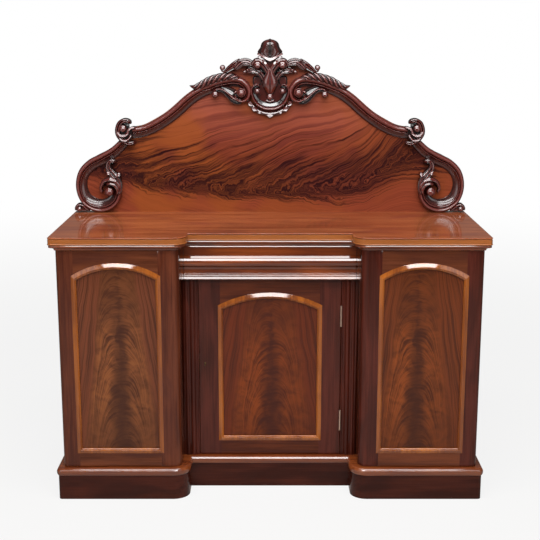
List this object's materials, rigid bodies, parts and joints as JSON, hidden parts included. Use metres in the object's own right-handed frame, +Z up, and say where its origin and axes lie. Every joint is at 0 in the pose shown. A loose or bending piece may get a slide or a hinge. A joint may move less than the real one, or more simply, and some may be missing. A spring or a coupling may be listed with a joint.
{
  "type": "breakfront sideboard",
  "caption": "Mahogany breakfront sideboard with arched panel doors on pedestals and a set-back centre, a shaped frieze drawer and a carved scrolled gallery.",
  "frame": {"origin": "on the floor under the middle of the sideboard's overall box", "axes": "+Z up, +Y towards the back, +X to the right when facing the doors"},
  "size_m": [1.504, 0.59, 1.591],
  "materials": {
    "mahogany": "french polished mahogany, glossy",
    "mahogany_flame_veneer": "flame-figured mahogany veneer, glossy polish",
    "mahogany_moulding": "golden mahogany moulding, glossy polish",
    "mahogany_carved": "carved mahogany, dark glossy polish",
    "pine": "plain unpolished secondary wood",
    "brass": "aged satin brass",
    "steel": "dull steel"
  },
  "bodies": {
    "carcass": {"top_board": "mahogany", "bed_moulding": "mahogany", "left_outer_side": "mahogany", "left_inner_side": "mahogany", "right_inner_side": "mahogany", "right_outer_side": "mahogany", "pedestal_bottoms": "pine", "pedestal_shelves": "pine", "pedestal_tops": "pine", "centre_bottom": "pine", "centre_shelf": "pine", "drawer_divider": "mahogany", "drawer_guides": "pine", "back_panels": "pine", "reeded_pilasters": "mahogany", "frieze_end_blocks": "mahogany", "plinth_left": "mahogany", "plinth_centre": "mahogany", "plinth_right": "mahogany", "plinth_moulding": "mahogany_moulding", "plinth_bearers": "pine", "gallery_backboard": "mahogany_flame_veneer", "gallery_upper_rails": "mahogany_carved", "gallery_ear_rails": "mahogany_carved", "gallery_crest": "mahogany_carved", "crest_scrolls": "mahogany_carved", "mid_scrolls": "mahogany_carved", "ear_leaves": "mahogany_carved", "foot_scrolls": "mahogany_carved", "gallery_battens": "pine", "batten_screws": "steel", "pivot_plates": "brass", "catch_clips": "brass", "centre_hinge_fixed_leaves": "brass", "lock_strike": "brass"},
    "left_door": {"left_door_stiles": "mahogany", "left_door_rails": "mahogany", "left_door_panel": "mahogany_flame_veneer", "left_door_moulding": "mahogany_moulding", "left_door_brasses": "brass"},
    "right_door": {"right_door_stiles": "mahogany", "right_door_rails": "mahogany", "right_door_panel": "mahogany_flame_veneer", "right_door_moulding": "mahogany_moulding", "right_door_brasses": "brass"},
    "centre_door": {"centre_door_stiles": "mahogany", "centre_door_rails": "mahogany", "centre_door_panel": "mahogany_flame_veneer", "centre_door_moulding": "mahogany_moulding", "centre_hinge_door_leaves": "brass", "centre_lock_case": "brass", "keyhole_escutcheon": "brass"},
    "lock_bolt": {"lock_bolt": "brass"},
    "drawer": {"drawer_front": "mahogany", "drawer_sides": "pine", "drawer_back": "pine", "drawer_bottom": "pine"}
  },
  "joints": [
    {"name": "left_door_hinge", "type": "hinge", "parent": "carcass", "child": "left_door", "pos_m": [-0.714, -0.257, 0.5], "axis": [0, 0, -1], "range_deg": [0, 110]},
    {"name": "right_door_hinge", "type": "hinge", "parent": "carcass", "child": "right_door", "pos_m": [0.714, -0.257, 0.5], "axis": [0, 0, 1], "range_deg": [0, 110]},
    {"name": "centre_door_hinge", "type": "hinge", "parent": "carcass", "child": "centre_door", "pos_m": [0.25175, -0.1562, 0.44], "axis": [0, 0, 1], "range_deg": [0, 105]},
    {"name": "lock_bolt_slide", "type": "slide", "parent": "centre_door", "child": "lock_bolt", "axis": [-1, 0, 0], "range_m": [0, 0.008]},
    {"name": "drawer_slide", "type": "slide", "parent": "carcass", "child": "drawer", "axis": [0, -1, 0], "range_m": [0, 0.28]}
  ]
}
